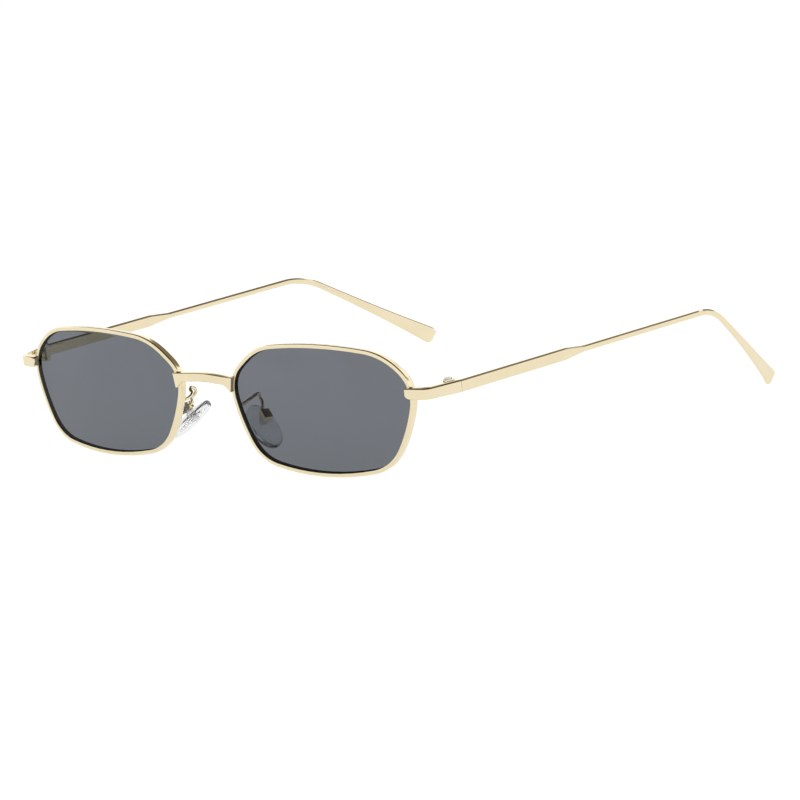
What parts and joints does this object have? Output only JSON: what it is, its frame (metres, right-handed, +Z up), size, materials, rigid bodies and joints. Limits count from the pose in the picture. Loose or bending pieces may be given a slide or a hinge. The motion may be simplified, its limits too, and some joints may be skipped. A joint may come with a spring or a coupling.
{
  "type": "geometric sunglasses",
  "caption": "Metal-framed geometric sunglasses with grey lenses, slim folding temples that end in flat paddles, and clear rocking nose pads.",
  "frame": {"origin": "centre of the bounding box's bottom face, on the surface the glasses stand on", "axes": "+X towards the wearer's left, +Y from the lenses back to the ears, +Z up"},
  "size_m": [0.135, 0.1534, 0.0312],
  "materials": {
    "gold": "polished pale gold",
    "screws": "polished",
    "lens": "grey tinted",
    "pad": "clear soft plastic",
    "core": "hard clear plastic"
  },
  "bodies": {
    "front": {"left_rim": "gold", "right_rim": "gold", "left_lens": "lens", "right_lens": "lens", "bridge": "gold", "left_endpiece": "gold", "right_endpiece": "gold", "left_upper_closing_block": "gold", "right_upper_closing_block": "gold", "left_lower_closing_block": "gold", "right_lower_closing_block": "gold", "left_closing_screw": "screws", "right_closing_screw": "screws", "left_front_hinge_leaf": "gold", "right_front_hinge_leaf": "gold", "left_hinge_screw": "screws", "right_hinge_screw": "screws", "left_pad_arm": "gold", "right_pad_arm": "gold", "left_pad_box": "gold", "right_pad_box": "gold", "left_pad_screw": "screws", "right_pad_screw": "screws"},
    "left_temple_group": {"left_temple_hinge_leaf": "gold", "left_temple": "gold"},
    "right_temple_group": {"right_temple_hinge_leaf": "gold", "right_temple": "gold"},
    "left_pad_group": {"left_pad_core": "core", "left_nose_pad": "pad"},
    "right_pad_group": {"right_pad_core": "core", "right_nose_pad": "pad"}
  },
  "joints": [
    {"name": "left_temple_fold", "type": "hinge", "parent": "front", "child": "left_temple_group", "pos_m": [0.0642, -0.06385, 0.02157], "axis": [0, -0.072, 0.9974], "range_deg": [0, 90]},
    {"name": "right_temple_fold", "type": "hinge", "parent": "front", "child": "right_temple_group", "pos_m": [-0.0642, -0.06385, 0.02157], "axis": [0, 0.072, -0.9974], "range_deg": [0, 85]},
    {"name": "left_pad_rock", "type": "hinge", "parent": "front", "child": "left_pad_group", "pos_m": [0.01265, -0.06874, 0.01195], "axis": [0.2851, 0.9585, 0.0018], "range_deg": [-12, 12]},
    {"name": "right_pad_rock", "type": "hinge", "parent": "front", "child": "right_pad_group", "pos_m": [-0.01265, -0.06874, 0.01195], "axis": [-0.2851, 0.9585, 0.0018], "range_deg": [-12, 12]}
  ]
}
